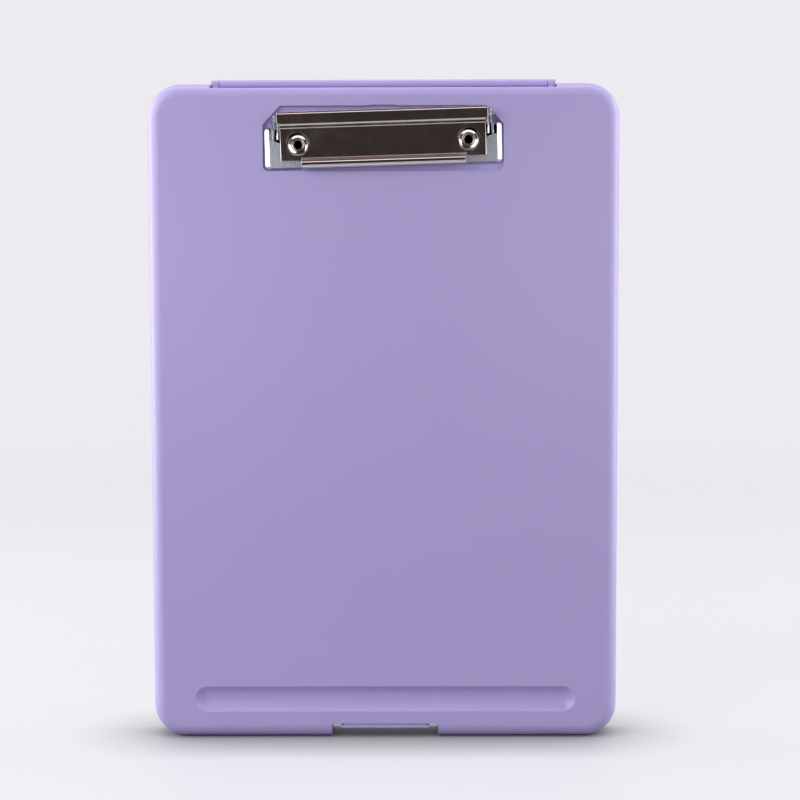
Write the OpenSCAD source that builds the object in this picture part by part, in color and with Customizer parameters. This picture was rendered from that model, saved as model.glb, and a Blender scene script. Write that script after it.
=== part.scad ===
// Storage clipboard box: a hinged tray and lid with a low-profile clip, a pen groove and a latch.
// The box stands upright on its bottom edge: +X to the right, -Y to the front, +Z up.

/* [Box] */
// Width of the box across its side walls
box_w = 240; // [200:1:280]
// Height of the box from its standing edge to its hinged edge
box_h = 336; // [300:1:380]
// Depth of the tray, from the back panel to the parting line
tray_t = 16.5; // [14:0.5:30]
// Depth of the lid, from the parting line to the writing face
lid_t = 8.5; // [8:0.5:12]
// Wall thickness of both mouldings
wall = 2.2; // [1.8:0.1:2.6]
// Radius of the corners seen from the front
corner_r = 17; // [12:0.5:24]
// Rounding of the lid's front edge
lid_edge_r = 7; // [4:0.5:7.5]
// Rounding of the tray's back edge
tray_edge_r = 5; // [3:0.5:8]
// Gap between the rims of the lid and the tray
rim_gap = 0.3; // [0.2:0.05:0.6]
// Rounding of the rims' outer edges
rim_r = 0.5; // [0.3:0.1:0.8]

/* [Hinge] */
// Length of the hinge strip, end knuckles included
hinge_l = 175.2; // [120:0.2:190]
// Radius of the hinge barrel and knuckles
barrel_r = 2.1; // [1.8:0.1:2.6]
// Length of each of the lid's two knuckles
knuckle_l = 4; // [3:0.5:12]
// Diameter of the steel hinge pin
pin_d = 1.6; // [1.2:0.1:1.8]
// Distance of the hinge axis outside the top walls
hinge_out = 0.15; // [0.15:0.05:0.5]

/* [Fits] */
// Clearance beside pieces that move past each other
run_gap = 0.3; // [0.2:0.05:0.6]
// Clearance between the ends of the hinge barrel and the knuckles
end_gap = 0.2; // [0.15:0.05:0.5]
// Radial clearance of pins, rods and rivets in their holes
pin_play = 0.05; // [0.02:0.01:0.1]

/* [Latch] */
// Width of the notch in the bottom edge
notch_w = 55; // [50:0.5:80]
// Height of the notch above the standing edge
notch_h = 7.4; // [6.8:0.1:10]
// Corner radius of the notch
notch_r = 1.2; // [0.6:0.1:2]
// Width of the latch strap
strap_w = 45.4; // [30:0.2:48]
// Thickness of the latch strap
strap_t = 1.6; // [1.2:0.1:2]
// Space between the strap and the notch, which the living hinge spans
web_h = 1; // [0.8:0.1:1.6]
// Front-to-back length of the living hinge's web
web_l = 0.7; // [0.5:0.1:1.2]
// Distance of the strap's front end behind the writing face
strap_inset = 0.6; // [0.4:0.1:2]
// Distance of the strap's free end in front of the back panel
strap_end = 5.5; // [4:0.5:8]
// Depth of the finger lip under the strap's free end
lip_h = 0.6; // [0.4:0.1:0.7]
// Height of the catch bead on the tray
bead_h = 0.35; // [0.2:0.05:0.5]

/* [Pen groove] */
// Length of the groove, lip to lip
groove_l = 197.6; // [140:0.2:200]
// Width of the groove, lip to lip
groove_w = 14; // [10:0.5:18]
// Depth of the groove
groove_d = 2.8; // [1.5:0.1:3.2]
// Rounding of the groove's lip
groove_lip_r = 1.5; // [0.5:0.1:2.5]
// Height of the groove's middle above the standing edge
groove_y = 20.5; // [18:0.5:40]

/* [Clip pocket] */
// Depth of the pocket below the writing face
pocket_d = 2; // [1.6:0.1:2.4]
// Clearance around the clip in its pocket
pocket_gap = 0.45; // [0.4:0.05:1.5]
// Width of the chamfers at the pocket's top corners
pocket_chamfer_w = 8.6; // [6:0.1:9]
// Height of the chamfers at the pocket's top corners
pocket_chamfer_h = 9.4; // [6:0.1:10]
// Radius of the pocket's bottom corners
pocket_r = 2.6; // [1:0.1:4]
// Width of the finger relief in the pocket's top wall
relief_w = 13.7; // [8:0.1:20]
// Depth of the finger relief, up the board
relief_h = 0.4; // [0.4:0.1:1.2]

/* [Clip base plate] */
// Width of the clip's base plate
clip_w = 120.2; // [117:0.2:130]
// Turn of the clip in its pocket, right end up, in degrees
clip_skew = 1.7; // [0:0.1:2.2]
// Distance of the rivets below the lid's top edge
rivet_drop = 29.9; // [26:0.1:40]
// Distance between the two rivets
rivet_pitch = 86.2; // [76:0.2:88]
// Extent of the base plate below the rivets
base_low = 12.1; // [12:0.1:14]
// Extent of the base plate's rim above the rivets
base_high = 9; // [7:0.1:9.4]
// Height of the base plate's top face above the pocket floor
base_top = 2.3; // [2.1:0.1:2.6]
// Thickness of the sheet steel
sheet_t = 0.8; // [0.6:0.1:0.9]
// Width of the bevelled rim at the base plate's ends
rim_side = 2.5; // [1.5:0.1:3]
// Width of the bevelled rim along the base plate's long edges
rim_long = 1; // [0.6:0.1:1.4]
// Height of the bevels above the base plate's upright edges
rim_drop = 1.2; // [0.8:0.1:1.4]
// Lean of the clip's ears towards the middle, in degrees
ear_lean = 12; // [0:1:12]

/* [Clip flap] */
// Width of the clamp plate
flap_w = 103.8; // [100:0.2:104.4]
// Width of the rolled jaw
jaw_w = 82.8; // [70:0.2:84]
// Outer radius of the rolled jaw
jaw_r = 2.6; // [2.4:0.05:2.7]
// Height of the clamp plate's underside above the base plate
flap_lift = 1.7; // [1.6:0.1:2.2]
// Distance of the jaw's middle below the rivets
jaw_drop = 9.6; // [9.4:0.1:9.8]
// Distance of the clamp plate's lower edge below the rivets
plate_drop = 8.1; // [7.9:0.1:8.4]
// Distance above the rivets at which the plate steps up to the lever
step_v = 7.8; // [7.4:0.1:8.2]
// Height of the step from the clamp plate to the lever
step_h = 3.2; // [3:0.1:3.8]
// Steepness of the step, in degrees
step_angle = 65; // [58:1:70]
// Length of the lever's flat strip
lever_l = 4.1; // [3.6:0.1:4.6]
// Bend of the lever's edge towards the lid, in degrees
curl_turn = 40; // [20:1:60]
// Diameter of the access holes over the rivets
access_d = 11.4; // [10.8:0.1:12]

/* [Pivot rod and springs] */
// Diameter of the pivot rod
rod_d = 2; // [1.6:0.1:2.2]
// Distance of the rod above the rivets, along the board
rod_v = 12.3; // [12.2:0.1:12.6]
// Height of the rod above the base plate
rod_lift = 2.3; // [2.3:0.1:2.6]
// Wire diameter of the torsion springs
wire_d = 0.7; // [0.5:0.05:0.75]
// Number of coils in each spring
coils = 6; // [3:1:10]
// Gap between neighbouring coils
coil_gap = 0.45; // [0.42:0.01:0.8]
// Distance of each spring's inner end from the middle
spring_u = 22; // [12:1:28]

/* [Rivets] */
// Diameter of the rivet heads
head_d = 10.3; // [9:0.1:10.5]
// Diameter of the hole through each rivet
rivet_bore_d = 3.5; // [2.8:0.1:3.6]
// Outer diameter of the rivet shanks
shank_d = 4.8; // [4.4:0.1:5.2]
// Diameter of the washers inside the lid
washer_d = 10; // [8:0.2:12]
// Thickness of the washers
washer_t = 0.8; // [0.5:0.1:1]

/* [Hidden] */
$fn = 72;

lavender = "#b3a5dd";
steel = "#b9bbc0";
satin_steel = "#8f9196";
spring_steel = "#77797d";

box_t = tray_t + lid_t;
cut = 1;                                        // how far a cutting tool runs past a face
tray_rim = tray_t - rim_gap / 2;
lid_rim = tray_t + rim_gap / 2;

// Hinge axis, along X
hinge_y = box_h + hinge_out;
hinge_half = hinge_l / 2;
hinge_sweep_r = barrel_r + run_gap;
hinge_recess_y = hinge_y - hinge_sweep_r;       // the lid's top wall steps down to here
knuckle_in = hinge_half - knuckle_l;            // inner end of a knuckle
barrel_half = knuckle_in - end_gap;             // half length of the tray's barrel
barrel_round = 0.6;
gusset_h = 3 * barrel_r;                        // blend from the barrel down the tray's wall
hinge_land_h = 8;                               // thickened wall behind each knuckle

// Tabs inside the lid's rim that centre it on the tray
tab_t = 1.4;
tab_l = 36;
tab_reach = 1.8;
tab_root = 3.5;
tab_gap = 0.4;

// Latch, in the notch of the bottom edge
strap_top = notch_h - web_h;
strap_bottom = strap_top - strap_t;
strap_front = box_t - strap_inset;
latch_axis_z = strap_front - 0.2;
latch_axis_y = notch_h - web_h / 2;
web_side = 1;                                   // the web is shorter than the strap at each end
bead_play = 0.15;
bead_l = 1.4;
bead_z = strap_end + 3.6;                       // the bead's middle
hook_z = bead_z - bead_l - 0.4;
hook_top = notch_h - bead_h - bead_play;
lip_l = 2.4;

// Pen groove: a trough with rounded lips, worked out from its width and depth
groove_half_w = groove_w / 2;
groove_r = (pow(groove_half_w, 2) + pow(groove_d, 2)) / (2 * groove_d) - groove_lip_r;
groove_end_x = groove_l / 2 - groove_half_w;

// Clip: u along the plate, v up the board and w out of the board, from the pocket floor
rivet_y = box_h - rivet_drop;
pocket_z = box_t - pocket_d;
base_under = base_top - sheet_t;
flap_under = base_top + flap_lift;
flap_top = flap_under + sheet_t;
lever_under = flap_under + step_h;
lever_top = lever_under + sheet_t;
clip_half = clip_w / 2;
flap_half = flap_w / 2;
ear_play = 0.35;                                // between the clamp plate and its ears
ears_apart = 0.95;                              // between an ear of the flap and the base plate's
ear_t = sheet_t / cos(ear_lean);
base_ear_w = base_top - sheet_t / 2;            // the base plate's ears lean from this height
flap_ear_in = flap_half + ear_play;             // the flap's ears hang from the lever's underside
flap_ear_out = flap_ear_in + ear_t;
base_ear_in = flap_ear_out + ears_apart + (lever_under - base_ear_w) * tan(ear_lean);
base_ear_out = base_ear_in + ear_t;
ear_low_v = 2.6;
ear_low_h = 0.6;                                // how far the flap's ear hangs below the plate
lever_notch = 0.4;                              // the plate widens this far below the lever
jaw_bend_in = 0.3;                              // inner radius of the bend beside the jaw
low_bend_in = 0.7;                              // inner radius at the foot of the step
high_bend_in = 0.8;                             // inner radius at the head of the step
jaw_play = run_gap;                             // between the closed jaw and the base plate
jaw_w0 = base_top + jaw_play + jaw_r;           // height of the jaw's middle
jaw_turn = acos((jaw_bend_in + flap_top - jaw_w0) / (jaw_bend_in + jaw_r));
jaw_bend_v = -jaw_drop + (jaw_bend_in + jaw_r) * sin(jaw_turn);
jaw_roll = 290;                                 // how far round the jaw is rolled, in degrees
jaw_relief = 0.4;                               // width of the slits beside the jaw's bend
relief_v = jaw_bend_v + 0.2;                    // the slits end here
bends_in = low_bend_in + high_bend_in + sheet_t;
step_flat = (step_h - bends_in * (1 - cos(step_angle))) / sin(step_angle);
step_run = bends_in * sin(step_angle) + step_flat * cos(step_angle);
lever_v = step_v + step_run;                    // start of the lever strip
curl_in = 1.4;                                  // inner radius of the lever's bent edge
bend_step = 9;                                  // degrees from one facet of a bend to the next
lever_end_v = lever_v + lever_l + (curl_in + sheet_t) * sin(curl_turn);
rod_w = base_top + rod_lift;
rod_r = rod_d / 2;
rod_hole_r = rod_r + pin_play;
flap_ear_r = rod_lift - run_gap;                // the flap's ear clears the base plate
base_ear_r = flap_ear_r + 0.4;
base_end_v = rod_v + 0.6;                       // upper end of the base plate
base_flange = sheet_t;
base_joint_v = base_high - rim_long - 1;        // the plate's extension up to the rod starts here
base_corner = 2.4;
ear_foot = 0.9;                                 // height of the base plate's ears at their low end
ear_slot = 1.6;                                 // width of the slots that free the ears
rod_head_r = rod_r + 0.5;
rod_head_t = 0.5;
rod_dome_r = 1.6 * rod_head_r;
rod_half = base_ear_out + pin_play - (rod_w - base_ear_w - rod_head_r) * tan(ear_lean);

// Pocket outline, just large enough for the turned clip
pocket_half = clip_half * cos(clip_skew) + base_low * sin(clip_skew) + pocket_gap;
pocket_low = rivet_y - base_low * cos(clip_skew) - clip_half * sin(clip_skew) - pocket_gap;
pocket_high = rivet_y + lever_end_v * cos(clip_skew) + flap_ear_out * sin(clip_skew) + pocket_gap;

// Rivets
rivet_hole_r = shank_d / 2 + pin_play;
boss_r = rivet_hole_r + 2;
head_ring_r = (head_d - shank_d) / 4 + 0.1;     // the head's domed ring, in section
head_lip_r = 0.5;
tail_r = 0.75;

// Torsion springs
coil_r = rod_r + pin_play + 0.15 + wire_d / 2;
coil_pitch = wire_d + coil_gap;
coil_leg = 2.6;
coil_steps = 8;                                 // rings on each coil
wire_sides = 6;
leg_dip = 6;                                    // the lower leg slopes down, in degrees
leg_rise = 12;                                  // the upper leg slopes up to the lever, in degrees

// The box is built lying on its back and stands up about its bottom edge
clip_front = pocket_z + lever_top;
module stand() {
    translate([0, clip_front / 2, 0]) rotate([90, 0, 0]) children();
}

module clip_place() {
    translate([0, rivet_y, pocket_z]) rotate([0, 0, clip_skew]) children();
}

// Turns a (v, w) outline into a plate that lies square to the clip's length
module across_clip(from_u, to_u) {
    translate([from_u, 0, 0])
        rotate([90, 0, 90])
            linear_extrude(to_u - from_u) children();
}

// ---- Moulded shells ----

// Section of a rounded rim, measured outwards from the corner's centre
module rim_section(run, height, edge_r, foot_r) {
    square([run - edge_r, height]);
    square([run - foot_r, height - edge_r]);
    translate([0, foot_r]) square([run, height - edge_r - foot_r]);
    for (rounding = [[height - edge_r, edge_r], [foot_r, foot_r]])
        intersection() {
            translate([run - rounding[1], rounding[0]]) circle(rounding[1]);
            square([run, height]);
        }
}

// A block with rounded corners whose far face has a rounded edge all round, and whose near
// face has the small rounding foot_r
module rounded_block(w, h, height, corner, edge_r, foot_r) {
    in_x = w / 2 - corner;
    in_y = h / 2 - corner;
    translate([-in_x, -in_y, 0]) cube([2 * in_x, 2 * in_y, height]);
    for (k = [0, 1]) {
        rotate([0, 0, 180 * k]) {
            translate([in_x, in_y, 0])
                rotate_extrude(angle = 90) rim_section(corner, height, edge_r, foot_r);
            translate([in_x, -in_y, 0])
                rotate([0, 0, -90])
                    rotate_extrude(angle = 90) rim_section(corner, height, edge_r, foot_r);
            translate([in_x, in_y, 0])
                rotate([90, 0, 0])
                    linear_extrude(2 * in_y) rim_section(corner, height, edge_r, foot_r);
            translate([-in_x, in_y, 0])
                rotate([90, 0, 90])
                    linear_extrude(2 * in_x) rim_section(corner, height, edge_r, foot_r);
        }
    }
}

module lid_block(shrink = 0, deeper = 0) {
    translate([0, box_h / 2, lid_rim - deeper])
        rounded_block(
            box_w - 2 * shrink, box_h - 2 * shrink, box_t - shrink - lid_rim + deeper,
            corner_r - shrink, lid_edge_r - shrink, rim_r
        );
}

module tray_block(shrink = 0, deeper = 0) {
    translate([0, box_h / 2, tray_rim + deeper])
        mirror([0, 0, 1])
            rounded_block(
                box_w - 2 * shrink, box_h - 2 * shrink, tray_rim - shrink + deeper,
                corner_r - shrink, tray_edge_r - shrink, rim_r
            );
}

module notch_outline(grow = 0) {
    half = notch_w / 2 + grow;
    top = notch_h + grow;
    r = notch_r + grow;
    translate([-half, -cut]) square([2 * half, top + cut - r]);
    translate([-half + r, -cut]) square([2 * (half - r), top + cut]);
    for (s = [-1, 1]) translate([s * (half - r), top - r]) circle(r);
}

module notch_form(from_z, to_z, grow = 0) {
    translate([0, 0, from_z]) linear_extrude(to_z - from_z) notch_outline(grow);
}

module along_hinge(from_x, to_x, r) {
    translate([from_x, hinge_y, tray_t])
        rotate([0, 90, 0]) cylinder(h = to_x - from_x, r = r);
}

module hinge_bore() {
    along_hinge(-hinge_half - cut, hinge_half + cut, pin_d / 2 + pin_play);
}

// ---- Tray ----

// Blends the barrel into the tray's top wall
module barrel_gusset() {
    tangent = barrel_r * sin(45);
    translate([-barrel_half, 0, 0])
        rotate([90, 0, 90])
            linear_extrude(2 * barrel_half)
                polygon([
                    [box_h - wall / 2, tray_rim],
                    [box_h - wall / 2, tray_t - gusset_h],
                    [box_h, tray_t - gusset_h],
                    [hinge_y + tangent, tray_t - tangent],
                    [hinge_y, tray_rim]
                ]);
}

module hinge_lands() {
    for (s = [-1, 1])
        translate([s * (hinge_half - knuckle_l / 2), 0, 0])
            translate([-knuckle_l / 2 - wall, hinge_recess_y - wall, tray_rim - hinge_land_h])
                cube([knuckle_l + 2 * wall, box_h - hinge_recess_y + wall, hinge_land_h]);
}

module knuckle_reliefs() {
    for (s = [-1, 1])
        mirror([s < 0 ? 1 : 0, 0, 0])
            along_hinge(barrel_half, hinge_half + run_gap, hinge_sweep_r);
}

module catch_bead() {
    translate([-strap_w / 4, notch_h + wall / 2, bead_z])
        rotate([90, 0, 90])
            linear_extrude(strap_w / 2)
                polygon([
                    [0, -bead_l / 2],
                    [0, bead_l / 2],
                    [-wall / 2, bead_l / 2],
                    [-wall / 2 - bead_h, bead_l / 6],
                    [-wall / 2 - bead_h, -bead_l / 6],
                    [-wall / 2, -bead_l / 2]
                ]);
}

module base_tray() {
    color(lavender) stand() difference() {
        union() {
            difference() {
                tray_block();
                tray_block(wall, cut);
            }
            intersection() {
                tray_block();
                union() {
                    notch_form(0, tray_rim, wall);
                    hinge_lands();
                }
            }
            barrel_gusset();
            along_hinge(-barrel_half, barrel_half, barrel_r);
        }
        difference() {
            notch_form(-cut, tray_t + cut);
            catch_bead();
        }
        knuckle_reliefs();
        hinge_bore();
    }
}

// ---- Lid ----

module pocket_outline(grow = 0) {
    half = pocket_half + grow;
    low = pocket_low - grow;
    high = pocket_high + grow;
    r = pocket_r + grow;
    top_half = half - pocket_chamfer_w;
    polygon([
        [-half, low + r], [half, low + r],
        [half, high - pocket_chamfer_h], [top_half, high],
        [-top_half, high], [-half, high - pocket_chamfer_h]
    ]);
    translate([-half + r, low]) square([2 * (half - r), r]);
    for (s = [-1, 1]) translate([s * (half - r), low + r]) circle(r);
}

// Section of the groove on one side of its middle, with the writing face at 0
module groove_section() {
    trough = [0, groove_r - groove_d];
    lip = [groove_half_w, -groove_lip_r];
    meet = trough + (lip - trough) * groove_r / (groove_r + groove_lip_r);
    intersection() {
        translate(trough) circle(groove_r);
        translate([0, -groove_d]) square([meet[0], meet[1] + groove_d]);
    }
    difference() {
        polygon([[0, meet[1]], meet, lip, [groove_half_w, cut], [0, cut]]);
        translate(lip) circle(groove_lip_r);
    }
}

// Section of the wall behind the groove
module groove_wall_section() {
    intersection() {
        translate([0, groove_r - groove_d]) circle(groove_r + wall);
        translate([0, -groove_d - wall]) square([box_w, groove_d + wall]);
    }
}

// Sweeps a section along the groove and round its two ends
module along_groove() {
    translate([0, groove_y, box_t])
        for (s = [0, 1])
            rotate([0, 0, 180 * s]) {
                translate([groove_end_x, 0, 0])
                    rotate([0, 0, -90])
                        rotate_extrude(angle = 180) children();
                translate([-groove_end_x, 0, 0])
                    rotate([90, 0, 90])
                        linear_extrude(2 * groove_end_x) children();
            }
}

module at_rivets() {
    clip_place()
        for (s = [-1, 1]) translate([s * rivet_pitch / 2, 0, 0]) children();
}

// What stands behind the writing face: the pocket's floor, the groove's trough and the notch
module lid_backing() {
    translate([0, 0, pocket_z - wall]) linear_extrude(pocket_d + wall) pocket_outline(wall);
    along_groove() groove_wall_section();
    notch_form(lid_rim, box_t, wall);
    translate([-hinge_half - run_gap - wall, hinge_recess_y - wall, lid_rim])
        cube([hinge_l + 2 * (run_gap + wall), wall + box_h - hinge_recess_y, box_t - lid_rim]);
}

module hinge_recess() {
    translate([-hinge_half - run_gap, hinge_recess_y, lid_rim - cut])
        cube([hinge_l + 2 * run_gap, box_h, box_t]);
}

// One end knuckle with its web to the lid's wall
module lid_knuckle() {
    translate([knuckle_in, hinge_recess_y - wall / 2, lid_rim])
        cube([knuckle_l - barrel_round, hinge_y - hinge_recess_y + wall / 2, barrel_r * 0.8]);
    translate([knuckle_in, hinge_y, tray_t])
        rotate([0, 90, 0])
            rotate_extrude() {
                square([barrel_r, knuckle_l - barrel_round]);
                square([barrel_r - barrel_round, knuckle_l]);
                translate([barrel_r - barrel_round, knuckle_l - barrel_round])
                    circle(barrel_round, $fn = 32);
            }
}

module rim_tab() {
    translate([-tab_l / 2, wall + tab_gap, tray_t - tab_reach])
        cube([tab_l, tab_t, tab_reach + tab_root]);
    translate([-tab_l / 2, wall / 2, lid_rim + tab_gap])
        cube([tab_l, wall / 2 + tab_gap + tab_t / 2, tray_t + tab_root - lid_rim - tab_gap]);
}

module rim_tabs() {
    for (s = [-1, 1]) {
        translate([s * box_w / 4, 0, 0]) rim_tab();
        for (share = [0.3, 0.7])
            translate([s * box_w / 2, share * box_h, 0]) rotate([0, 0, s * 90]) rim_tab();
    }
}

module lid() {
    color(lavender) stand() difference() {
        union() {
            difference() {
                union() {
                    difference() {
                        lid_block();
                        lid_block(wall, cut);
                    }
                    intersection() {
                        lid_block();
                        lid_backing();
                    }
                }
                hinge_recess();
                notch_form(0, box_t + cut);
                along_groove() groove_section();
                translate([0, 0, pocket_z])
                    linear_extrude(pocket_d + cut) {
                        pocket_outline();
                        translate([-relief_w / 2, pocket_high - relief_h])
                            square([relief_w, 2 * relief_h]);
                    }
            }
            for (s = [0, 1]) mirror([s, 0, 0]) lid_knuckle();
            rim_tabs();
            at_rivets() cylinder(h = base_under, r = boss_r);
        }
        at_rivets() translate([0, 0, -wall - cut]) cylinder(h = box_t, r = rivet_hole_r);
        hinge_bore();
    }
}

module hinge_pin() {
    color(steel) stand()
        along_hinge(-hinge_half + barrel_round, hinge_half - barrel_round, pin_d / 2);
}

// ---- Latch ----

module latch_strap() {
    end_r = strap_t / 2;
    color(lavender) stand()
        translate([-strap_w / 2, 0, 0])
            rotate([90, 0, 90])
                linear_extrude(strap_w) {
                    translate([strap_bottom, strap_end]) square([strap_t, strap_front - strap_end - end_r]);
                    translate([strap_bottom + end_r, strap_front - end_r]) circle(end_r, $fn = 48);
                    translate([strap_bottom - lip_h, strap_end])
                        polygon([[0, 0], [lip_h + end_r, 0], [lip_h + end_r, lip_l], [lip_h, lip_l], [0, lip_l / 3]]);
                    polygon([
                        [strap_bottom + end_r, hook_z - bead_l / 2],
                        [hook_top, hook_z - bead_l / 4],
                        [hook_top, hook_z + bead_l / 4],
                        [strap_bottom + end_r, hook_z + bead_l / 2]
                    ]);
                }
}

module latch_web() {
    color(lavender) stand()
        translate([-strap_w / 2 + web_side, strap_top, latch_axis_z - web_l])
            cube([strap_w - 2 * web_side, web_h, web_l]);
}

// ---- Clip base plate ----

module base_outline(half, inset, corner) {
    for (s = [-1, 1]) {
        translate([s * (half - corner), -base_low + inset + corner]) circle(corner, $fn = 32);
        translate([s * (half - corner), base_high - inset - corner]) circle(corner, $fn = 32);
    }
}

// The plate's raised form: upright edges, then a bevel up to the flat top
module base_form(inset, top_w) {
    layer = 0.01;
    bevel_w = top_w - rim_drop;
    hull() {
        linear_extrude(bevel_w) base_outline(clip_half - inset, inset, base_corner);
        translate([0, 0, top_w - layer])
            linear_extrude(layer)
                base_outline(clip_half - inset - rim_side, inset + rim_long, base_corner / 2);
    }
}

// Leans an ear's sheet inwards about its root on the right-hand side
module leaning_ear(root_u, root_w) {
    translate([root_u, 0, root_w])
        rotate([0, -ear_lean, 0])
            translate([0, 0, -root_w])
                across_clip(0, sheet_t) children();
}

module rod_hole() {
    translate([0, rod_v, rod_w])
        rotate([0, 90, 0]) cylinder(h = clip_w, r = rod_hole_r, center = true);
}

module base_ear() {
    inside = 0.75 * base_ear_r;
    leaning_ear(base_ear_in, base_ear_w) {
        translate([rod_v, rod_w]) circle(base_ear_r);
        polygon([
            [ear_low_v, base_under + sheet_t / 4],
            [ear_low_v, base_top + ear_foot],
            [rod_v - inside * sin(30), rod_w + inside],
            [rod_v + inside, rod_w],
            [base_end_v - sheet_t / 2, base_under + sheet_t / 4]
        ]);
    }
}

// Slots beside the ears, from which they were cut and bent up
module ear_slots() {
    for (s = [-1, 1])
        translate([s * (base_ear_out + ear_slot / 2), ear_low_v + ear_slot / 2, -cut]) {
            cylinder(h = base_top + 2 * cut, d = ear_slot, $fn = 48);
            translate([-ear_slot / 2, 0, 0]) cube([ear_slot, clip_w, base_top + 2 * cut]);
        }
}

module clip_base_plate() {
    color(satin_steel) stand() clip_place()
        difference() {
            union() {
                difference() {
                    base_form(0, base_top);
                    translate([0, 0, -sheet_t / 8]) base_form(sheet_t, base_under + sheet_t / 8);
                }
                translate([-base_ear_in - sheet_t / 2, base_joint_v, base_under])
                    cube([2 * base_ear_in + sheet_t, base_end_v - base_joint_v, sheet_t]);
                translate([-base_ear_in, base_end_v - base_flange, 0])
                    cube([2 * base_ear_in, base_flange, base_top]);
                for (s = [0, 1]) mirror([s, 0, 0]) base_ear();
            }
            ear_slots();
            rod_hole();
            for (s = [-1, 1])
                translate([s * rivet_pitch / 2, 0, 0]) cylinder(h = base_top + cut, r = rivet_hole_r);
        }
}

// ---- Clip flap ----

function direction(angle) = [cos(angle), sin(angle)];
function left_of(heading) = direction(heading + 90);
function bend_shift(part, heading, turn) =
    (part[1] + sheet_t / 2) * sign(part[0]) * (left_of(heading) - left_of(heading + turn));

// Follows the middle of a bent sheet, as [place, heading] pairs. Each part is a straight run,
// [length], or a bend, [turn, inner radius], whose turn is positive to the left.
function follow(parts, place, heading, k = 0) =
    k == len(parts) ? [[place, heading]] :
    let (part = parts[k])
    len(part) == 1 ?
        concat(
            [[place, heading]],
            follow(parts, place + part[0] * direction(heading), heading, k + 1)
        ) :
        let (steps = ceil(abs(part[0]) / bend_step))
        concat(
            [
                for (j = [0:steps - 1])
                    let (turn = part[0] * j / steps)
                    [place + bend_shift(part, heading, turn), heading + turn]
            ],
            follow(parts, place + bend_shift(part, heading, part[0]), heading + part[0], k + 1)
        );

module bent_sheet(parts, place, heading) {
    path = follow(parts, place, heading);
    last = len(path) - 1;
    polygon(concat(
        [for (k = [0:last]) path[k][0] + sheet_t / 2 * left_of(path[k][1])],
        [for (k = [last:-1:0]) path[k][0] - sheet_t / 2 * left_of(path[k][1])]
    ));
}

// The clamp plate seen from its end. From the lever's bent edge the sheet steps down to the
// plate, at whose lower edge it rises and rolls over into the jaw.
module flap_section() {
    curl = [curl_turn, curl_in];
    curl_end = [lever_v + lever_l, lever_under + sheet_t / 2];
    bent_sheet(
        [
            curl, [lever_l],
            [step_angle, high_bend_in], [step_flat], [-step_angle, low_bend_in],
            [step_v - jaw_bend_v],
            [-jaw_turn, jaw_bend_in], [jaw_roll, jaw_r - sheet_t]
        ],
        curl_end - bend_shift(curl, 180 - curl_turn, curl_turn), 180 - curl_turn
    );
}

module flap_ear() {
    inside = 0.75 * flap_ear_r;
    leaning_ear(flap_ear_in, lever_under) {
        translate([rod_v, rod_w]) circle(flap_ear_r);
        polygon([
            [ear_low_v, flap_under - ear_low_h],
            [ear_low_v, flap_top],
            [step_v, flap_top],
            [lever_v, lever_top - sheet_t / 2],
            [lever_v + lever_l, lever_top - sheet_t / 2],
            [lever_v + lever_l, lever_under - sheet_t / 2],
            [rod_v + inside, rod_w],
            [rod_v, rod_w - inside]
        ]);
    }
}

// Takes everything more than half_w from the middle off the plate, up to v
module side_cut(half_w, to_v) {
    for (s = [0, 1])
        mirror([s, 0, 0])
            translate([half_w, to_v - clip_w, -cut]) cube([clip_w, clip_w, 2 * lever_top]);
}

module clip_flap() {
    color(steel) stand() clip_place() {
        difference() {
            across_clip(-flap_ear_out, flap_ear_out) flap_section();
            for (s = [-1, 1])
                translate([s * rivet_pitch / 2, 0, 0]) cylinder(h = lever_top, d = access_d);
            side_cut(jaw_w / 2, relief_v);
            side_cut(flap_half, lever_v - lever_notch);
        }
        for (s = [0, 1])
            mirror([s, 0, 0])
                translate([jaw_w / 2 + jaw_relief, -plate_drop, flap_under])
                    cube([flap_half - jaw_w / 2 - jaw_relief, plate_drop + relief_v + 1, sheet_t]);
        difference() {
            for (s = [0, 1]) mirror([s, 0, 0]) flap_ear();
            rod_hole();
        }
    }
}

// ---- Rod, springs, rivets and washers ----

module clip_rod() {
    color(steel) stand() clip_place()
        translate([0, rod_v, rod_w]) rotate([0, 90, 0]) {
            translate([0, 0, -rod_half - rod_head_t / 2])
                cylinder(h = 2 * rod_half + rod_head_t, r = rod_r);
            for (s = [0, 1])
                mirror([0, 0, s])
                    translate([0, 0, rod_half])
                        rotate_extrude() intersection() {
                            translate([0, rod_head_t - rod_dome_r]) circle(rod_dome_r);
                            square([rod_head_r, rod_head_t]);
                        }
        }
}

// Middle line of a torsion spring: lower leg, coils, upper leg, as [u, v, w] about the rod
function coil_point(angle, u) = [u, coil_r * cos(angle), coil_r * sin(angle)];
function coil_path() =
    let (
        first = -90 - leg_dip,
        last = 90 + leg_rise - 360 * coils,
        turn = first - last,
        steps = round(coil_steps * turn / 360),
        length = coil_pitch * turn / 360,
        points = [for (k = [0:steps]) coil_point(first - turn * k / steps, length * k / steps)],
        lower_dir = [0, cos(leg_dip), -sin(leg_dip)],
        upper_dir = [0, cos(leg_rise), sin(leg_rise)]
    )
    concat([points[0] + coil_leg * lower_dir], points, [points[steps] + coil_leg * upper_dir]);

function unit(p) = p / norm(p);
function tangent_at(path, k) =
    unit(path[min(k + 1, len(path) - 1)] - path[max(k - 1, 0)]);

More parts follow.
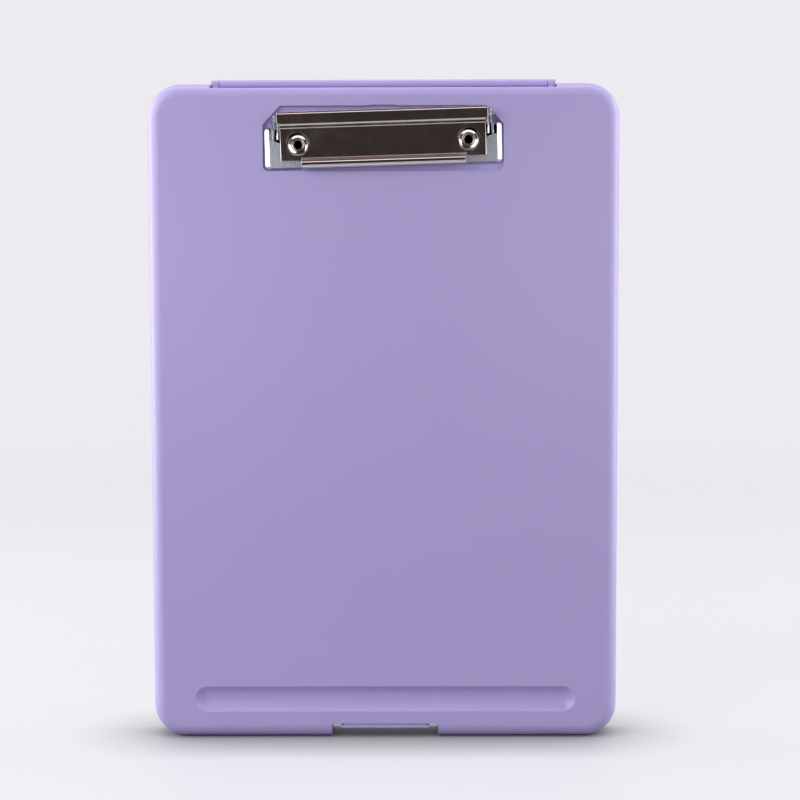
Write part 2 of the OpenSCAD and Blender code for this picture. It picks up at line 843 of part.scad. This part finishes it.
module wire_along(path) {
    last = len(path) - 1;
    rings = [
        for (k = [0:last])
            let (
                t = tangent_at(path, k),
                side = unit([1, 0, 0] - t[0] * t),
                over = cross(t, side)
            )
            for (j = [0:wire_sides - 1])
                let (a = 360 * j / wire_sides)
                path[k] + wire_d / 2 * (cos(a) * side + sin(a) * over)
    ];
    walls = [
        for (k = [0:last - 1])
            for (j = [0:wire_sides - 1])
                let (
                    a = k * wire_sides + j,
                    b = k * wire_sides + (j + 1) % wire_sides
                )
                each [[a, a + wire_sides, b], [b, a + wire_sides, b + wire_sides]]
    ];
    ends = [
        for (j = [1:wire_sides - 2])
            each [[0, j, j + 1], [last * wire_sides, last * wire_sides + j + 1, last * wire_sides + j]]
    ];
    polyhedron(rings, concat(walls, ends));
}

spring_path = coil_path();
least_gap = min([
    for (a = [0:len(spring_path) - 1])
        for (b = [a + coil_steps / 2:len(spring_path) - 1])
            norm(spring_path[a] - spring_path[b])
]) - wire_d;
echo(str("least gap between a spring's turns: ", least_gap, " mm"));

module clip_spring() {
    color(spring_steel) stand() clip_place()
        translate([spring_u, rod_v, rod_w]) wire_along(spring_path);
}

module clip_spring_right() {
    clip_spring();
}

module clip_spring_left() {
    color(spring_steel) stand() clip_place()
        mirror([1, 0, 0]) translate([spring_u, rod_v, rod_w]) wire_along(spring_path);
}

module rivet(side) {
    ring_at = head_d / 2 - head_ring_r;
    bore_r = rivet_bore_d / 2;
    tail_w = -wall - washer_t;
    color(steel) stand() clip_place()
        translate([side * rivet_pitch / 2, 0, 0])
            rotate_extrude() difference() {
                union() {
                    translate([bore_r, tail_w - tail_r / 2])
                        square([shank_d / 2 - bore_r, base_top + head_lip_r - tail_w + tail_r / 2]);
                    intersection() {
                        translate([ring_at, base_top - head_ring_r / 4]) circle(head_ring_r);
                        translate([bore_r, base_top]) square([head_d, head_d]);
                    }
                    translate([bore_r + head_lip_r, base_top + 0.7]) circle(head_lip_r);
                    intersection() {
                        translate([shank_d / 2, tail_w]) circle(tail_r);
                        translate([bore_r, tail_w - 2 * tail_r]) square([head_d, 2 * tail_r]);
                    }
                }
                translate([0, tail_w - 3 * tail_r]) square([bore_r, 4 * head_d]);
            }
}

module rivet_left() {
    rivet(-1);
}

module rivet_right() {
    rivet(1);
}

module washer(side) {
    color(steel) stand() clip_place()
        translate([side * rivet_pitch / 2, 0, -wall - washer_t])
            difference() {
                cylinder(h = washer_t, d = washer_d);
                translate([0, 0, -cut]) cylinder(h = washer_t + 2 * cut, r = rivet_hole_r);
            }
}

module washer_left() {
    washer(-1);
}

module washer_right() {
    washer(1);
}

base_tray();
lid();
hinge_pin();
latch_strap();
latch_web();
clip_base_plate();
clip_flap();
clip_rod();
clip_spring_left();
clip_spring_right();
rivet_left();
rivet_right();
washer_left();
washer_right();
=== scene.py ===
import math

import bmesh
import bpy
from mathutils import Matrix, Vector
from mathutils.bvhtree import BVHTree


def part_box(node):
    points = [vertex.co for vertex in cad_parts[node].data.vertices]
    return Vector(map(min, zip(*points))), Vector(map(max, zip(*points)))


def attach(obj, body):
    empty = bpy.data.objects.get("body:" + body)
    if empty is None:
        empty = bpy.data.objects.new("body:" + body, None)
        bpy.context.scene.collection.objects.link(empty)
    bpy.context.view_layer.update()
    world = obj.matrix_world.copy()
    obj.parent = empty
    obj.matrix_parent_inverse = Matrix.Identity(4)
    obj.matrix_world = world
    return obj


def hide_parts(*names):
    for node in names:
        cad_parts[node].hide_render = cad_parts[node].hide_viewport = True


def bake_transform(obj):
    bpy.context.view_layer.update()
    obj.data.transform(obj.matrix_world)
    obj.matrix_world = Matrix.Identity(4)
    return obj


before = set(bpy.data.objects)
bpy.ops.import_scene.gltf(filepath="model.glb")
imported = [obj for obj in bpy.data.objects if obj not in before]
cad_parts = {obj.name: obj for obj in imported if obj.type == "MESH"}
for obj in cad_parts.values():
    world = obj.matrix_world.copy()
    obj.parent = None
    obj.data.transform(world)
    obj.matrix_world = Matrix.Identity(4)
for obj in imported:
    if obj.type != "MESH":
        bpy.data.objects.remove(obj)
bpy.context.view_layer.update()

# ---- Camera ----
# A short telephoto a little above the middle of the box and looking slightly down,
# as the photograph was taken. Its place was fitted to the outline of the box.

MM = 0.001
IMAGE_PX = 800
FOCAL_PX = 1750.0
SENSOR_WIDTH = 36.0
NEAREST = 50 * MM
CAMERA_X = 13.9 * MM
CAMERA_HEIGHT = 241.7 * MM
CAMERA_DISTANCE = 891.2 * MM
CAMERA_PITCH = 0.07417  # this and the next two are in radians
CAMERA_YAW = -0.00646
CAMERA_ROLL = 0.00265

writing_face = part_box("lid")[0].y
camera_data = bpy.data.cameras.new("camera")
camera_data.sensor_fit = "HORIZONTAL"
camera_data.sensor_width = SENSOR_WIDTH
camera_data.lens = SENSOR_WIDTH * FOCAL_PX / IMAGE_PX
camera_data.clip_start = NEAREST
camera = bpy.data.objects.new("camera", camera_data)
bpy.context.scene.collection.objects.link(camera)
forward = Vector((
    math.sin(CAMERA_YAW) * math.cos(CAMERA_PITCH),
    math.cos(CAMERA_YAW) * math.cos(CAMERA_PITCH),
    -math.sin(CAMERA_PITCH),
))
level_right = Vector((math.cos(CAMERA_YAW), -math.sin(CAMERA_YAW), 0))
level_up = level_right.cross(forward)
right = level_right * math.cos(CAMERA_ROLL) - level_up * math.sin(CAMERA_ROLL)
up = level_right * math.sin(CAMERA_ROLL) + level_up * math.cos(CAMERA_ROLL)
camera.matrix_world = (
    Matrix.Translation((CAMERA_X, writing_face - CAMERA_DISTANCE, CAMERA_HEIGHT))
    @ Matrix((right, up, -forward)).transposed().to_4x4()
)
bpy.context.scene.camera = camera


# ---- Shells ----
# The tray and the lid are injection-moulded polypropylene in lavender, from a spark-eroded
# mould. That gives a soft satin skin with a fine grain: broad, mild highlights and no sharp
# reflections. Every mould edge is broken by about a quarter of a millimetre.

MOULD_EDGE = 0.28 * MM
MOULD_EDGE_ANGLE = 38
EDGE_STEPS = 2
STRAY = 0.6  # how far a corner may leave the surface, as a share of the edge's width
SAME_POINT = 0.001 * MM
FLAT_ANGLE = 0.3
SHADING_ANGLE = 32
SPARK_GRAIN = 0.6 * MM  # the real grain is about 0.1 mm, and is drawn coarser so that it shows
GRAIN_DEPTH = 0.03 * MM
HANDLING = 45 * MM


def linear(code):
    channels = [int(code[k:k + 2], 16) / 255 for k in (1, 3, 5)]
    return [c / 12.92 if c <= 0.04045 else ((c + 0.055) / 1.055) ** 2.4 for c in channels] + [1]


def add(tree, kind, links=None, **settings):
    node = tree.nodes.new(kind)
    for name, value in settings.items():
        if hasattr(node, name):
            setattr(node, name, value)
        else:
            node.inputs[name.replace("_", " ")].default_value = value
    for socket, source in (links or {}).items():
        tree.links.new(source, node.inputs[socket])
    return node


def new_material(name):
    material = bpy.data.materials.new(name)
    material.use_nodes = True
    material.node_tree.nodes.clear()
    return material, material.node_tree


def merged_copy(node):
    """A CAD node's mesh with its doubles merged and its flat faces made one."""
    shape = bmesh.new()
    shape.from_mesh(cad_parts[node].data)
    bmesh.ops.remove_doubles(shape, verts=shape.verts, dist=SAME_POINT)
    bmesh.ops.dissolve_limit(
        shape, angle_limit=math.radians(FLAT_ANGLE), use_dissolve_boundaries=False,
        verts=shape.verts, edges=shape.edges, delimit=set(),
    )
    shape.normal_update()
    return shape


def break_edges(shape, width, sharp_angle=MOULD_EDGE_ANGLE, which=lambda edge: True):
    """Rounds the sharp edges over and pulls back any corner that this pushes off the surface."""
    surface = BVHTree.FromBMesh(shape)
    sharp = [
        edge for edge in shape.edges
        if len(edge.link_faces) == 2 and edge.calc_face_angle() > math.radians(sharp_angle) and which(edge)
    ]
    bmesh.ops.bevel(
        shape, geom=sharp, offset=width, offset_type="OFFSET", segments=EDGE_STEPS,
        profile=0.5, affect="EDGES", clamp_overlap=False, material=-1, miter_outer="ARC",
    )
    for vert in shape.verts:
        near, _, _, distance = surface.find_nearest(vert.co)
        if distance > STRAY * width:
            vert.co = near
    shape.normal_update()


def finish_piece(shape, name, material, body, node):
    """Makes a smooth-shaded piece in place of a CAD node. It rides on a body, unless that is None."""
    mesh = bpy.data.meshes.new(name)
    shape.to_mesh(mesh)
    shape.free()
    mesh.polygons.foreach_set("use_smooth", [True] * len(mesh.polygons))
    mesh.set_sharp_from_angle(angle=math.radians(SHADING_ANGLE))
    mesh.materials.append(material)
    piece = bpy.data.objects.new(name, mesh)
    bpy.context.scene.collection.objects.link(piece)
    weights = piece.modifiers.new("face_weighted_normals", "WEIGHTED_NORMAL")
    weights.keep_sharp = True
    if body:
        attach(piece, body)
    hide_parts(node)
    return piece


lavender_plastic, tree = new_material("moulded_polypropylene_lavender")
place = add(tree, "ShaderNodeTexCoord").outputs["Object"]
grain = add(tree, "ShaderNodeTexNoise", {"Vector": place}, Scale=1 / SPARK_GRAIN, Detail=2.0)
bump = add(tree, "ShaderNodeBump", {"Height": grain.outputs["Fac"]}, Strength=0.15, Distance=GRAIN_DEPTH)
handling = add(tree, "ShaderNodeTexNoise", {"Vector": place}, Scale=1 / HANDLING, Detail=4.0)
gloss = add(
    tree, "ShaderNodeMapRange", {"Value": handling.outputs["Fac"]},
    From_Min=0.35, From_Max=0.65, To_Min=0.36, To_Max=0.42,
)
shader = add(
    tree, "ShaderNodeBsdfPrincipled",
    {"Normal": bump.outputs["Normal"], "Roughness": gloss.outputs["Result"]},
    Base_Color=linear("#ADA0D4"), IOR=1.49,
)
add(tree, "ShaderNodeOutputMaterial", {"Surface": shader.outputs[0]})

for node, body in (("base_tray", "tray"), ("lid", "lid")):
    shape = merged_copy(node)
    break_edges(shape, MOULD_EDGE)
    finish_piece(shape, body + "_moulding", lavender_plastic, body, node)


# ---- Latch ----
# A strap of the same plastic in the notch, moulded in one shot with the thin web that it
# swings on. Its edges are finer than those of the shells.

STRAP_EDGE = 0.2 * MM


def finish_as_it_is(node, material):
    """Gives a CAD node that keeps its own shape a better material."""
    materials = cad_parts[node].data.materials
    materials.clear()
    materials.append(material)


shape = merged_copy("latch_strap")
break_edges(shape, STRAP_EDGE)
finish_piece(shape, "latch_strap_moulding", lavender_plastic, "latch", "latch_strap")
finish_as_it_is("latch_web", lavender_plastic)


# ---- Clip ----
# Two pressings of sheet steel, nickel plated. The clamp plate is polished and mirrors what
# stands in front of it. The base plate is tumbled, which leaves it satin grey.

FINGER_MARKS = 9 * MM
TUMBLE_MARKS = 0.35 * MM  # coarser than the real ones, so that they show
TUMBLE_DEPTH = 0.02 * MM

polished_nickel, tree = new_material("polished_nickel_plate")
place = add(tree, "ShaderNodeTexCoord").outputs["Object"]
handling = add(tree, "ShaderNodeTexNoise", {"Vector": place}, Scale=1 / FINGER_MARKS, Detail=5.0)
gloss = add(
    tree, "ShaderNodeMapRange", {"Value": handling.outputs["Fac"]},
    From_Min=0.3, From_Max=0.7, To_Min=0.06, To_Max=0.13,
)
shader = add(
    tree, "ShaderNodeBsdfPrincipled", {"Roughness": gloss.outputs["Result"]},
    Base_Color=linear("#D2CFCC"), Metallic=1.0,
)
add(tree, "ShaderNodeOutputMaterial", {"Surface": shader.outputs[0]})

satin_nickel, tree = new_material("satin_nickel_plate")
place = add(tree, "ShaderNodeTexCoord").outputs["Object"]
along = add(tree, "ShaderNodeMapping", {"Vector": place}, Scale=(1, 1, 0.06))
grain = add(tree, "ShaderNodeTexNoise", {"Vector": along.outputs[0]}, Scale=1 / TUMBLE_MARKS, Detail=3.0)
gloss = add(
    tree, "ShaderNodeMapRange", {"Value": grain.outputs["Fac"]},
    From_Min=0.3, From_Max=0.7, To_Min=0.24, To_Max=0.38,
)
streaks = add(tree, "ShaderNodeBump", {"Height": grain.outputs["Fac"]}, Strength=0.12, Distance=TUMBLE_DEPTH)
shader = add(
    tree, "ShaderNodeBsdfPrincipled",
    {"Roughness": gloss.outputs["Result"], "Normal": streaks.outputs["Normal"]},
    Base_Color=linear("#B6BAC6"), Metallic=1.0,
)
add(tree, "ShaderNodeOutputMaterial", {"Surface": shader.outputs[0]})

TUMBLED_EDGE = 0.12 * MM
TUMBLED_EDGE_ANGLE = 20
SHEARED_EDGE = 0.25 * MM
SHEARED_EDGE_ANGLE = 50
PRESSED_EDGE = 0.08 * MM
PRESSED_EDGE_ANGLE = 60
HOLE_REACH = 6.2 * MM
SIDEWAYS = 0.5  # the least share of its normal that makes a face one of the ends


def middle_of(node):
    low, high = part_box(node)
    return low.lerp(high, 0.5)


rivets = [middle_of("rivet_left"), middle_of("rivet_right")]


def is_sheared(edge):
    """The plate's left and right ends, but not the rims of its two access holes."""
    middle = (edge.verts[0].co + edge.verts[1].co) / 2
    round_hole = any(math.hypot(middle.x - at.x, middle.z - at.z) < HOLE_REACH for at in rivets)
    return not round_hole and max(abs(face.normal.x) for face in edge.link_faces) > SIDEWAYS


shape = merged_copy("clip_base_plate")
break_edges(shape, TUMBLED_EDGE, TUMBLED_EDGE_ANGLE)
finish_piece(shape, "base_plate_pressing", satin_nickel, "lid", "clip_base_plate")
shape = merged_copy("clip_flap")
break_edges(shape, SHEARED_EDGE, SHEARED_EDGE_ANGLE, is_sheared)
break_edges(shape, PRESSED_EDGE, PRESSED_EDGE_ANGLE)
finish_piece(shape, "clamp_plate_pressing", polished_nickel, "flap", "clip_flap")


# ---- Rivets ----
# Two hollow rivets of nickel-plated steel hold the clip to the lid. Their factory heads are
# low domes with a sunk ring round the bore, and their tails are flared over the washers
# inside the lid. They are turned from an outline of radius and height over the pocket's face.

DOME_TOP = 3.64  # the outline is in millimetres
DOME_CURVE = 20.0
BORE_AND_RING = [
    (2.25, -3.6), (2.25, 2.75), (2.33, 2.85), (2.75, 2.85), (2.85, 2.75), (2.85, 2.42), (3.35, 2.42),
]
DOME = [
    (radius, DOME_TOP - DOME_CURVE + math.sqrt(DOME_CURVE ** 2 - radius ** 2))
    for radius in (3.37, 3.8, 4.2, 4.6, 5.0)
]
RIM_AND_TAIL = [(5.12, 2.55), (5.1, 2.3), (2.4, 2.3), (2.4, -3.0), (3.1, -3.1), (2.9, -3.7)]
RIVET_OUTLINE = BORE_AND_RING + DOME + RIM_AND_TAIL
RIVET_CORNER = 0.05 * MM
RIVET_CORNER_STEPS = 3
RIVET_STEPS = 64

pocket_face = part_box("clip_base_plate")[1].y
for side, at in zip(("left", "right"), rivets):
    shape = bmesh.new()
    outline = [shape.verts.new((radius * MM, -rise * MM, 0)) for radius, rise in RIVET_OUTLINE]
    for pair in zip(outline, outline[1:] + outline[:1]):
        shape.edges.new(pair)
    bmesh.ops.bevel(
        shape, geom=outline, offset=RIVET_CORNER, offset_type="OFFSET", segments=RIVET_CORNER_STEPS,
        profile=0.5, affect="VERTICES", clamp_overlap=True, material=-1,
    )
    bmesh.ops.spin(
        shape, geom=shape.verts[:] + shape.edges[:], cent=(0, 0, 0), axis=(0, 1, 0),
        angle=2 * math.pi, steps=RIVET_STEPS, use_merge=True,
    )
    bmesh.ops.remove_doubles(shape, verts=shape.verts, dist=SAME_POINT)
    bmesh.ops.recalc_face_normals(shape, faces=shape.faces)
    bmesh.ops.translate(shape, verts=shape.verts, vec=(at.x, pocket_face, at.z))
    finish_piece(shape, "rivet_" + side + "_tubular", polished_nickel, "lid", "rivet_" + side)


# ---- Springs ----
# Two torsion springs of oil-tempered wire on the rod. Each presses on the base plate with its
# inner leg and on the clamp plate with its outer leg, so its turns wind up between the two.

BLUED_PATCHES = 0.5 * MM

spring_steel, tree = new_material("oil_tempered_spring_wire")
place = add(tree, "ShaderNodeTexCoord").outputs["Object"]
patches = add(tree, "ShaderNodeTexNoise", {"Vector": place}, Scale=1 / BLUED_PATCHES, Detail=3.0)
gloss = add(
    tree, "ShaderNodeMapRange", {"Value": patches.outputs["Fac"]},
    From_Min=0.3, From_Max=0.7, To_Min=0.26, To_Max=0.42,
)
shader = add(
    tree, "ShaderNodeBsdfPrincipled", {"Roughness": gloss.outputs["Result"]},
    Base_Color=linear("#84868C"), Metallic=1.0,
)
add(tree, "ShaderNodeOutputMaterial", {"Surface": shader.outputs[0]})

for side, name in ((-1, "clip_spring_left"), (1, "clip_spring_right")):
    piece = finish_piece(merged_copy(name), name + "_wire", spring_steel, None, name)
    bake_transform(piece)


# ---- Rod, pin and washers ----
# Cold-drawn steel wire for the clip's rod and the hinge pin, and stamped steel washers under
# the rivets' tails. All are left bright, with faint marks from the die.

DIE_MARKS = 0.25 * MM  # coarser than the real ones, so that they show

bright_steel, tree = new_material("bright_drawn_steel")
place = add(tree, "ShaderNodeTexCoord").outputs["Object"]
along = add(tree, "ShaderNodeMapping", {"Vector": place}, Scale=(0.05, 1, 1))
marks = add(tree, "ShaderNodeTexNoise", {"Vector": along.outputs[0]}, Scale=1 / DIE_MARKS, Detail=2.0)
gloss = add(
    tree, "ShaderNodeMapRange", {"Value": marks.outputs["Fac"]},
    From_Min=0.3, From_Max=0.7, To_Min=0.2, To_Max=0.34,
)
shader = add(
    tree, "ShaderNodeBsdfPrincipled", {"Roughness": gloss.outputs["Result"]},
    Base_Color=linear("#A6A6AA"), Metallic=1.0,
)
add(tree, "ShaderNodeOutputMaterial", {"Surface": shader.outputs[0]})
for name in ("hinge_pin", "clip_rod", "washer_left", "washer_right"):
    finish_as_it_is(name, bright_steel)


# ---- Studio ----
# A pale floor that fades into a pale surround, which only the camera, gloss and glass see at
# its full brightness. The floor is painted mid-grey, so that it throws little light back at
# the box, and a glow lifts it to the pale tone where nothing stands near it. Near the box the
# glow fades, which paints a contact shadow over the real shadow that the lamps cast.

PALE = linear("#ECECF0")
SURROUND_LIGHT = linear("#FAFCFF")
SURROUND_POWER = 0.3
FADE_FROM = 0.5  # distances from the box on the floor, in metres
FADE_TO = 1.7
FLOOR_SIZE = 2.5
FLOOR_COLOR = linear("#76767A")
FLOOR_LIFT = 0.66
SHADOW_REACH = 45 * MM
SHADOW_DEPTH = 2.0


def stage_piece(name, shape, material):
    mesh = bpy.data.meshes.new(name)
    shape.to_mesh(mesh)
    shape.free()
    mesh.materials.append(material)
    piece = bpy.data.objects.new(name, mesh)
    bpy.context.scene.collection.objects.link(piece)
    return piece


def seen_straight(tree):
    """1 for what the camera, gloss and glass see, and 0 for the light that lands on things."""
    light_path = add(tree, "ShaderNodeLightPath")
    seen = light_path.outputs["Is Camera Ray"]
    for ray in ("Is Glossy Ray", "Is Transmission Ray"):
        seen = add(
            tree, "ShaderNodeMath", {0: seen, 1: light_path.outputs[ray]}, operation="MAXIMUM",
        ).outputs[0]
    return seen


floor_paint, tree = new_material("pale_floor")
place = add(tree, "ShaderNodeTexCoord").outputs["Object"]
reach = add(tree, "ShaderNodeVectorMath", {0: place}, operation="LENGTH")
fade = add(
    tree, "ShaderNodeMapRange", {"Value": reach.outputs["Value"]},
    interpolation_type="SMOOTHSTEP", From_Min=FADE_FROM, From_Max=FADE_TO, To_Min=0.0, To_Max=1.0,
)
shader = add(tree, "ShaderNodeBsdfPrincipled", Base_Color=FLOOR_COLOR, Roughness=0.6)
# Ambient occlusion dims the floor's glow near and under the box: a painted contact shadow.
openness = add(tree, "ShaderNodeAmbientOcclusion", Distance=SHADOW_REACH, samples=8)
openness = add(tree, "ShaderNodeMath", {0: openness.outputs["AO"]}, operation="POWER")
openness.inputs[1].default_value = SHADOW_DEPTH
lift = add(tree, "ShaderNodeMath", {0: seen_straight(tree), 1: openness.outputs[0]}, operation="MULTIPLY")
lift = add(tree, "ShaderNodeMath", {0: lift.outputs[0]}, operation="MULTIPLY")
lift.inputs[1].default_value = FLOOR_LIFT
glow = add(tree, "ShaderNodeEmission", {"Strength": lift.outputs[0]}, Color=PALE)
lifted = add(tree, "ShaderNodeAddShader", {0: shader.outputs[0], 1: glow.outputs[0]})
clear = add(tree, "ShaderNodeBsdfTransparent")
mixed = add(
    tree, "ShaderNodeMixShader",
    {0: fade.outputs["Result"], 1: lifted.outputs[0], 2: clear.outputs[0]},
)
add(tree, "ShaderNodeOutputMaterial", {"Surface": mixed.outputs[0]})

shape = bmesh.new()
bmesh.ops.create_grid(shape, x_segments=1, y_segments=1, size=FLOOR_SIZE)
stage_piece("floor", shape, floor_paint)

world = bpy.data.worlds.new("studio")
bpy.context.scene.world = world
world.use_nodes = True
tree = world.node_tree
tree.nodes.clear()
surround_light = add(tree, "ShaderNodeBackground", Color=SURROUND_LIGHT, Strength=SURROUND_POWER)
surround_seen = add(tree, "ShaderNodeBackground", Color=PALE, Strength=1.0)
mixed = add(
    tree, "ShaderNodeMixShader",
    {0: seen_straight(tree), 1: surround_light.outputs[0], 2: surround_seen.outputs[0]},
)
add(tree, "ShaderNodeOutputWorld", {"Surface": mixed.outputs[0]})


# ---- Lamps ----
# Soft boxes: a key and a fill in front, a rim lamp on each side and one above. The three
# small cards in front of the clip show only in reflections. They draw the bright arcs on
# the rivet heads.

CENTRE = (0, 0, 0.17)
CLIP = (0, 0, 0.31)


def soft_box(name, place, aim, size, power, reflected_only=False):
    data = bpy.data.lights.new(name, "AREA")
    data.shape = "RECTANGLE"
    data.size, data.size_y = size
    data.energy = power
    lamp = bpy.data.objects.new(name, data)
    lamp.location = place
    lamp.rotation_euler = (Vector(aim) - Vector(place)).to_track_quat("-Z", "Y").to_euler()
    lamp.visible_camera = False
    lamp.visible_diffuse = not reflected_only
    bpy.context.scene.collection.objects.link(lamp)


soft_box("key_left", place=(-1.1, -0.9, 0.7), aim=CENTRE, size=(0.9, 1.2), power=14.5)
soft_box("fill_right", place=(1.15, -0.85, 0.5), aim=CENTRE, size=(0.6, 1.1), power=5.5)
soft_box("rim_left", place=(-1.25, 0.15, 0.4), aim=CENTRE, size=(0.8, 1.2), power=16)
soft_box("rim_right", place=(1.25, 0.15, 0.4), aim=CENTRE, size=(0.8, 1.2), power=15)
soft_box("top", place=(0, 0.05, 1.6), aim=CENTRE, size=(1.6, 0.5), power=10)
soft_box("high_card", (0, -0.45, 0.544), aim=CLIP, size=(0.48, 0.12), power=0.3, reflected_only=True)
for x in (-0.205, 0.205):
    soft_box("low_card", (x, -0.45, 0.24), aim=CLIP, size=(0.19, 0.2), power=0.35, reflected_only=True)


# ---- Dark flag ----
# A dark sheet in front of the box that only reflections see, so that the plated clip keeps
# the dark, contrasty look of polished metal in a studio. The sheet takes no light and glows in
# its own colour, so what the clip shows of it is a painted reflection. A strip lies on the
# floor, and a sheet bends from the floor up and over the box. The glow is warmer and lighter
# at its top, which paints a warm reflection on the curled top edge of the clip.

FLAG_SHEETS = (  # (distance in front of the box, height), in metres
    [(0.2, 0.003), (0.26, 0.003)],
    [(0.42, 0.003), (0.62, 0.003), (0.78, 0.25), (0.8, 0.7), (0.62, 1.15), (0.36, 1.5), (0.05, 1.55)],
)
FLAG_WIDTH = 1.5
FLAG_REFLECTION_COLOR = linear("#3F3533")
FLAG_TOP_REFLECTION_COLOR = linear("#815D69")
TOP_FROM = 0.6
TOP_TO = 1.1
COLOR_A, COLOR_B = 6, 7  # the Mix node's two colour sockets

flag_reflection_glow, tree = new_material("dark_flag")
place = add(tree, "ShaderNodeTexCoord").outputs["Object"]
height = add(tree, "ShaderNodeSeparateXYZ", {"Vector": place}).outputs["Z"]
rise = add(
    tree, "ShaderNodeMapRange", {"Value": height},
    interpolation_type="SMOOTHSTEP", From_Min=TOP_FROM, From_Max=TOP_TO, To_Min=0.0, To_Max=1.0,
)
tint = add(tree, "ShaderNodeMix", {0: rise.outputs["Result"]}, data_type="RGBA")
tint.inputs[COLOR_A].default_value = FLAG_REFLECTION_COLOR
tint.inputs[COLOR_B].default_value = FLAG_TOP_REFLECTION_COLOR
# The sheet's glow, dark below and warm above, paints the reflections on the clip's plates.
glow = add(tree, "ShaderNodeEmission", {"Color": tint.outputs[2]}, Strength=1.0)
add(tree, "ShaderNodeOutputMaterial", {"Surface": glow.outputs[0]})

shape = bmesh.new()
for bends in FLAG_SHEETS:
    profile = [shape.verts.new((-FLAG_WIDTH / 2, -out, up)) for out, up in bends]
    edges = [shape.edges.new(pair) for pair in zip(profile, profile[1:])]
    bmesh.ops.spin(
        shape, geom=edges, cent=(0, 0, 0), axis=(0, 0, 1), angle=0, steps=1,
        dvec=(FLAG_WIDTH, 0, 0), use_merge=False,
    )
flag = stage_piece("dark_flag", shape, flag_reflection_glow)
flag.visible_camera = False
flag.visible_diffuse = False
flag.visible_transmission = False
flag.visible_shadow = False

bpy.context.scene.view_settings.view_transform = "Standard"
